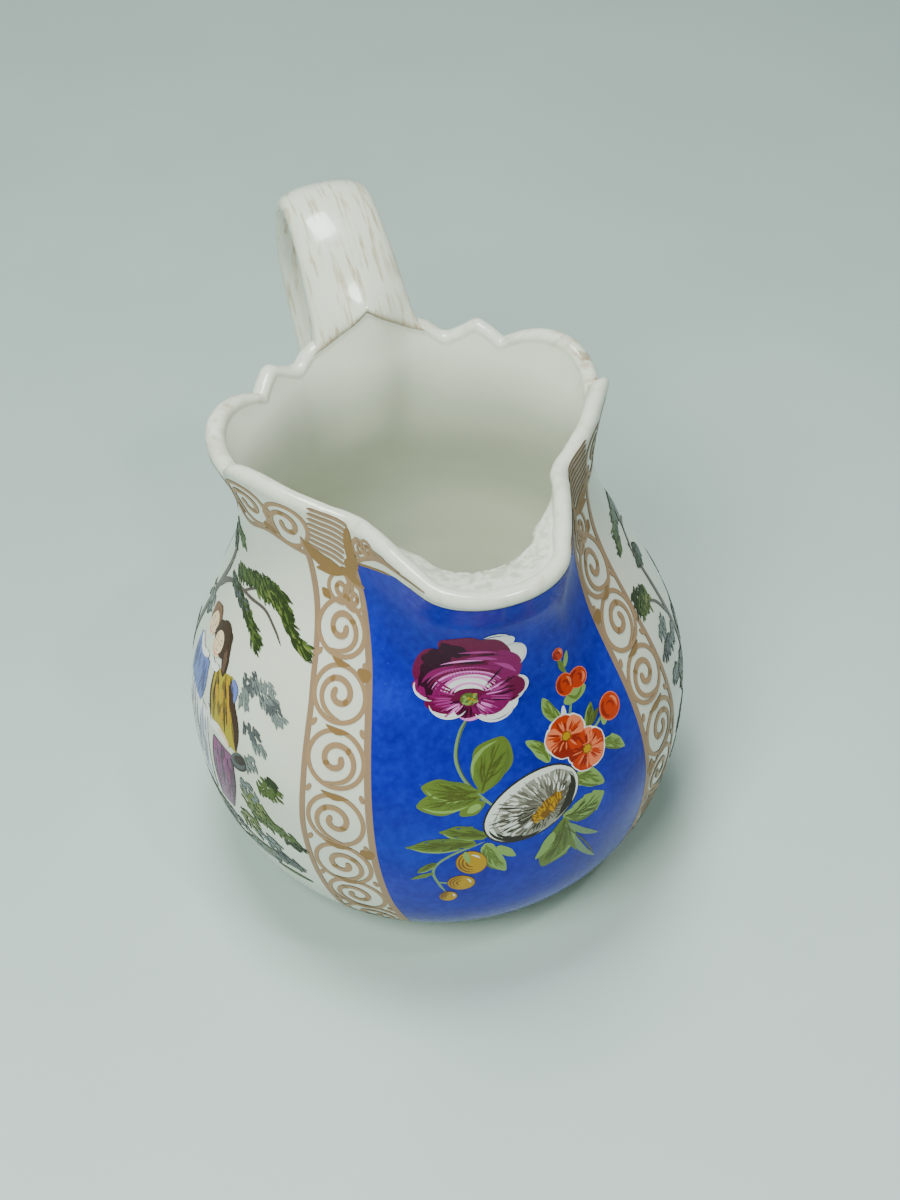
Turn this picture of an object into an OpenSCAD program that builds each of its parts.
// Porcelain cream jug: a pear-shaped belly on a low foot ring, a scalloped rim,
// a drawn-out pouring lip between two rounded shoulders, and a high strap handle.
// Millimetres, +Z up, origin at the centre of the foot's resting plane.
// The lip points to -Y and the handle to +Y. Angles start at the lip and grow to +X.

/* [Belly] */
// Widest outside diameter of the belly
belly_d = 84; // [76:1:92]
// Height of the widest point above the table
belly_z = 28; // [25:0.5:32]
// Outside diameter of the neck under the rim
neck_d = 49; // [46:0.5:52]
// Height at which the pear shape has closed to the neck's width
neck_z = 74; // [72:0.5:76]

/* [Walls] */
// Thickness of the thrown wall
wall_t = 2.8; // [2.2:0.1:3.4]
// Thickness of the floor above the foot ring
floor_t = 3.2; // [2.4:0.1:5]

/* [Foot] */
// Outside diameter of the foot ring
foot_d = 50; // [44:1:52]
// Height of the foot ring
foot_h = 3; // [2:0.5:4]
// Width of the foot ring's wall
foot_w = 3.2; // [2.4:0.2:5]

/* [Rim] */
// Overall height of the front rim above the table, without its scallops
rim_z = 81; // [78:0.5:86]
// How far the lip reaches from the jug's axis
lip_reach = 33.4; // [31:0.2:36]
// Extra thickness of the wall inside the lip, just below its edge
lip_shelf = 5.2; // [0:0.2:5.4]
// Radius of the waist behind the lip
lip_waist = 20.7; // [19.8:0.1:23]
// Radius of the two side lobes
lobe_r = 37.6; // [36:0.2:38.6]
// Angle of the shoulders where the lip piece ends
shoulder_a = 103; // [101:0.5:105]
// Height of the step at each shoulder
shoulder_step = 2.8; // [1:0.1:4]
// Depth of the scallops beside the handle
scallop_h = 4; // [2:0.2:5]

/* [Handle] */
// Width of the strap at its top
strap_w = 15.2; // [13:0.2:17]
// Thickness of the strap
strap_t = 4.6; // [3.8:0.1:5.4]
// How far the strap reaches behind the jug's axis
handle_reach = 66.2; // [60:0.2:72]
// Height of the strap's top above the table
handle_z = 92.2; // [89:0.2:98]
// Height where the strap's lower end meets the belly
handle_low = 50.5; // [46:0.5:54]

/* [Hidden] */
white = [0.89, 0.88, 0.83];
warm_white = [0.87, 0.84, 0.79];
biscuit = [0.80, 0.77, 0.70];
belly_r = belly_d / 2;
neck_r = neck_d / 2;
foot_r = foot_d / 2;
base_r = foot_r + 0.5;
floor_z = foot_h + floor_t;
flare_z = neck_z - 31;
joint_z = rim_z - 9;
edge_h = 1.3;
edge_steps = 4;
join_a = 0.2;
rad = 180 / PI;

// Outline of the flared collar at rim height: [angle, radius].
front_outline = [
    [-10, lip_reach - 0.5], [0, lip_reach], [10, lip_reach - 0.5], [19, lip_reach - 2.3],
    [27, lip_reach - 5.8], [36, lip_waist + 3.8], [46, lip_waist + 1.6], [58, lip_waist],
    [70, lip_waist + 1.7], [81, lip_waist + 4.3], [92, lip_waist + 7.5], [shoulder_a, 32.7],
    [114, lobe_r - 1.2], [126, lobe_r], [141, lobe_r - 0.4], [150, lobe_r + 0.7],
    [159, lobe_r + 2.4], [168, lobe_r + 1.6], [180, lobe_r - 2.2], [192, lobe_r + 1.6]
];

// Height of the rim: [angle, height], one run in front of the shoulder and two behind.
front_height = [
    [-20, rim_z - 0.2], [0, rim_z - 0.8], [20, rim_z - 0.2], [40, rim_z + 0.8], [60, rim_z - 0.2],
    [85, rim_z + 0.7], [99, rim_z + 0.9], [shoulder_a, rim_z - 1]
];
lobe_height = [
    [shoulder_a, rim_z + 0.1 - shoulder_step], [112, rim_z - 2.2], [122, rim_z - 1.2],
    [131, rim_z - 1.6], [137, rim_z - 2.7], [141, rim_z - scallop_h]
];
back_height = [
    [141, rim_z - scallop_h], [145, rim_z - 3], [149.5, rim_z - 2.5],
    [153.5, rim_z - scallop_h], [158, rim_z - 1.2 - scallop_h], [163, rim_z - 3.8],
    [168, rim_z - 2.8], [174, rim_z - 0.4], [180, rim_z + 2]
];

// Smooth curve through a list of [x, y] stations.
function piece_at(st, x, i = 0) =
    (i >= len(st) - 2 || x < st[i + 1][0]) ? i : piece_at(st, x, i + 1);
function rise_over(st, i, j) = (st[j][1] - st[i][1]) / (st[j][0] - st[i][0]);
function tangent(st, i) = rise_over(st, max(i - 1, 0), min(i + 1, len(st) - 1));
function through(st, x) =
    let (i = piece_at(st, x), w = st[i + 1][0] - st[i][0], t = (x - st[i][0]) / w)
    (2 * t ^ 3 - 3 * t ^ 2 + 1) * st[i][1] + (t ^ 3 - 2 * t ^ 2 + t) * w * tangent(st, i)
    + (3 * t ^ 2 - 2 * t ^ 3) * st[i + 1][1] + (t ^ 3 - t ^ 2) * w * tangent(st, i + 1);

// Radius of the collar's outline and height of the rim at an angle.
function outline_r(a) = through(front_outline, abs(a));
function back_rim(a) = through(abs(a) < 141 ? lobe_height : back_height, abs(a));
function front_rim(a) = through(front_height, abs(a));

// Radius of the thrown pear shape at a height.
function under_r(z) =
    let (t = (belly_z - z) / (belly_z - foot_h))
    base_r + (belly_r - base_r) * (1 - max(t, 0) ^ 1.9) ^ (1 / 2.9);
function upper_r(z) =
    let (t = min(1, (z - belly_z) / (neck_z - belly_z)))
    neck_r + (belly_r - neck_r) * (1 + cos(180 * t ^ 1.19)) / 2;
function pear_r(z) = z < belly_z ? under_r(z) : upper_r(z);

// Outside of the jug: the pear shape, drawn out to the collar's outline as it rises.
function flare(z) = max(0, (z - flare_z) / (rim_z - 1 - flare_z)) ^ 1.8;
function outer_r(o, z) = pear_r(z) + (o - neck_r) * flare(z);

// Inside of the jug: the same wall, measured square to its surface, then a round bowl.
function wall_run(a, z) =
    let (r = outer_r(outline_r(a), z))
    let (turn = (outer_r(outline_r(abs(a) + 1), z) - outer_r(outline_r(abs(a) - 1), z)) * rad / 2)
    let (lean = (outer_r(outline_r(a), z + 0.2) - outer_r(outline_r(a), z - 0.2)) / 0.4)
    wall_t * min(1.5, sqrt(1 + (turn / r) ^ 2 + lean ^ 2));
function bowl_r(z) =
    (belly_r - wall_t) * (1 - ((belly_z - z) / (belly_z - floor_z)) ^ 3) ^ (1 / 2.2);
function shelf(a, z) =
    let (down = front_rim(min(abs(a), shoulder_a)) - edge_h - z)
    let (share = down < 0.8 ? max(0, down / 0.8) : max(0, 1 - (down - 0.8) / 12) ^ 1.4)
    lip_shelf * exp(-(abs(a) / 31) ^ 4) * share;
function inner_r(a, z) =
    z < belly_z ? bowl_r(z) : outer_r(outline_r(a), z) - wall_run(a, z) - shelf(a, z);

function spot(a, r, z) = [r * sin(a), -r * cos(a), z];
function between(p, q, n) = [for (i = [0:n]) p + (q - p) * i / n];

// Section through the wall from height lo up over the rim and down again.
function over_rim(a, lo, top) =
    let (side = top - edge_h, ro = outer_r(outline_r(a), side), ri = inner_r(a, side))
    concat(
        [for (z = between(lo, side, 5)) spot(a, outer_r(outline_r(a), z), z)],
        [for (i = [1:edge_steps - 1])
            let (f = 180 * i / edge_steps)
            spot(a, (ro + ri) / 2 + (ro - ri) / 2 * cos(f), side + edge_h * sin(f))],
        [for (t = [0, 0.12, 0.3, 0.5, 0.75, 1])
            let (z = side + (lo - side) * t) spot(a, inner_r(a, z), z)]
    );

// Flat seat of the lip, with as many points as the section over the rim.
function flat_seat(a, z) =
    [for (t = between(0, 1, 11 + edge_steps - 1))
        spot(a, outer_r(outline_r(a), z) * (1 - t) + inner_r(a, z) * t, z)];

// One upright section of the body, from the foot up the outside and down the inside.
function body_section(a, seat) =
    concat(
        [for (t = [0, 0.04, 0.12, 0.24, 0.4, 0.6, 0.8])
            let (z = foot_h + (belly_z - foot_h) * t) spot(a, pear_r(z), z)],
        [for (z = between(belly_z, joint_z, 13))
            if (z < joint_z - 0.01) spot(a, outer_r(outline_r(a), z), z)],
        seat ? flat_seat(a, joint_z) : over_rim(a, joint_z, back_rim(a)),
        [for (z = between(joint_z, belly_z, 7))
            if (z < joint_z - 0.01) spot(a, inner_r(a, z), z)],
        [for (t = [0.3, 0.55, 0.75, 0.88, 0.96, 0.99, 0.999])
            let (z = belly_z - (belly_z - floor_z) * t) spot(a, bowl_r(z), z)]
    );

// Angles of the sections, closer together where the outline turns quickly.
front_angles = [for (i = [-33:33]) (shoulder_a - join_a) * i / 33];
back_angles = concat(
    between(shoulder_a, 141, 13),
    between(142.5, 180, 16),
    between(-177.5, -142.5, 15),
    between(-141, -shoulder_a, 13)
);

function strip(m, n, closed) =
    [for (i = [0:m - (closed ? 1 : 2)], k = [0:n - 2], f = [0, 1])
        let (j = (i + 1) % m)
        f == 0 ? [i * n + k, i * n + k + 1, j * n + k + 1] : [i * n + k, j * n + k + 1, j * n + k]];

module body() {
    sections = concat(
        [for (a = front_angles) body_section(a, true)],
        [for (a = back_angles) body_section(a, false)]
    );
    m = len(sections);
    n = len(sections[0]);
    under = m * n;
    ends = [for (i = [0:m - 1], f = [0, 1])
        let (j = (i + 1) % m)
        f == 0 ? [i * n, j * n, under] : [j * n + n - 1, i * n + n - 1, under + 1]];
    color(white)
        polyhedron(
            points = concat([for (s = sections) each s], [[0, 0, foot_h], [0, 0, floor_z]]),
            faces = concat(strip(m, n, true), ends)
        );
}

module pouring_lip() {
    sections = [for (a = front_angles)
        let (s = over_rim(a, joint_z, front_rim(a))) concat(s, [s[0]])];
    m = len(sections);
    n = len(sections[0]);
    loop = [for (k = [0:n - 2]) k];
    color(white)
        polyhedron(
            points = [for (s = sections) each s],
            faces = concat(strip(m, n, false), [[for (k = loop) n - 2 - k]],
                [[for (k = loop) (m - 1) * n + k]])
        );
}

// Centre line of the strap as three Bezier arcs in the plane of symmetry: [y, z].
root = [32.6, rim_z - 3];
crown = [handle_reach - 11.8, handle_z - strap_t / 2];
back = [handle_reach - strap_t / 2, handle_z - 17];
heel = [38, handle_low];
arcs = [
    [root, root + [5, 2.6], crown - [8, 0], crown],
    [crown, crown + [6, 0], back + [0, 7], back],
    [back, back - [0, 9], heel + [15, 7], heel]
];
function bezier(p, t) =
    p[0] * (1 - t) ^ 3 + 3 * p[1] * t * (1 - t) ^ 2 + 3 * p[2] * t ^ 2 * (1 - t) + p[3] * t ^ 3;
function heading(p, t) =
    3 * (p[1] - p[0]) * (1 - t) ^ 2 + 6 * (p[2] - p[1]) * t * (1 - t) + 3 * (p[3] - p[2]) * t ^ 2;

// Half width and half thickness of the strap along its length, u from 0 to 1.
function half_w(u) =
    through([[0, 10.2], [0.08, 8.8], [0.2, strap_w / 2 + 0.3], [0.36, strap_w / 2],
        [0.6, strap_w / 2 - 0.5], [0.85, strap_w / 2 - 0.9], [1, strap_w / 2 + 0.4]], u);
function half_t(u) =
    through([[0, 3.1], [0.12, strap_t / 2 + 0.1], [0.5, strap_t / 2], [0.88, strap_t / 2],
        [1, strap_t / 2 + 1]], u);

// How far the strap's edges drop below its middle, so that the root sits astride the rim.
function sag(u) = through([[0, 4.2], [0.05, 3.2], [0.12, 1.2], [0.2, 0.4], [0.9, 0.3], [1, 0.5]], u);

// Oval section of the strap: [across, out], flattened on its broad faces.
oval_n = 24;
function oval(f) = [sign(cos(f)) * abs(cos(f)) ^ 0.8, sign(sin(f)) * abs(sin(f)) ^ 0.85];

// y of the jug's outside at a given x and z behind the axis.
function skin_y(x, z, y = 34, i = 6) =
    i == 0 ? y : skin_y(x, z, sqrt(outer_r(outline_r(180 - atan2(x, y)), z) ^ 2 - x ^ 2), i - 1);

// A ring of the strap: square to the path, and turned to lie on the jug's skin at either end.
rings = 42;
turn_u = 0.16;
function ease(t) = let (c = max(0, min(1, t))) c * c * (3 - 2 * c);
function ring(i) =
    let (u = i / rings, s = min(floor(u * 3), 2), t = u * 3 - s, c = bezier(arcs[s], t))
    let (d = heading(arcs[s], t) / norm(heading(arcs[s], t)), out = [-d[1], d[0]])
    let (end = u < 0.5 ? root : heel, side = u < 0.5 ? 1 : -1)
    let (w = ease((u < 0.5 ? u : 1 - u) / turn_u))
    [for (k = [0:oval_n - 1])
        let (o = oval(360 * k / oval_n), x = half_w(u) * o[0])
        let (h = half_t(u) * o[1] - sag(u) * o[0] ^ 2)
        let (square = [x, c[0] + h * out[0], c[1] + h * out[1]])
        let (z = c[1] + side * h, z0 = end[1] + side * h)
        let (laid = [x, skin_y(x, z0) + 0.01 + c[0] - end[0], z])
        square * w + laid * (1 - w)];

// Facing points across an oval end, joined from one edge to the other.
function end_face(p) =
    let (n = oval_n)
    [for (k = [0:n / 2 - 1], f = [0, 1])
        if (f == 0 ? k < n / 2 - 1 : k > 0)
            f == 0 ? [p + k, p + k + 1, p + n - k - 1] : [p + k, p + n - k - 1, p + n - k]];
function turned(faces) = [for (f = faces) [f[2], f[1], f[0]]];

module handle() {
    color(warm_white)
        polyhedron(
            points = [for (i = [0:rings]) each ring(i)],
            faces = concat(
                [for (i = [0:rings - 1], k = [0:oval_n - 1], f = [0, 1])
                    let (p = i * oval_n, q = p + oval_n, k1 = (k + 1) % oval_n)
                    f == 0 ? [p + k, p + k1, q + k1] : [p + k, q + k1, q + k]],
                turned(end_face(0)),
                end_face(rings * oval_n)
            )
        );
}

module foot_ring() {
    foot_in = foot_r - foot_w;
    color(biscuit)
        rotate_extrude($fn = 96)
            polygon([[foot_in - 0.4, foot_h], [foot_in, 0.7], [foot_in + 0.6, 0], [foot_r - 0.7, 0],
                [foot_r, 0.7], [foot_r + 0.2, foot_h]]);
}

body();
pouring_lip();
handle();
foot_ring();
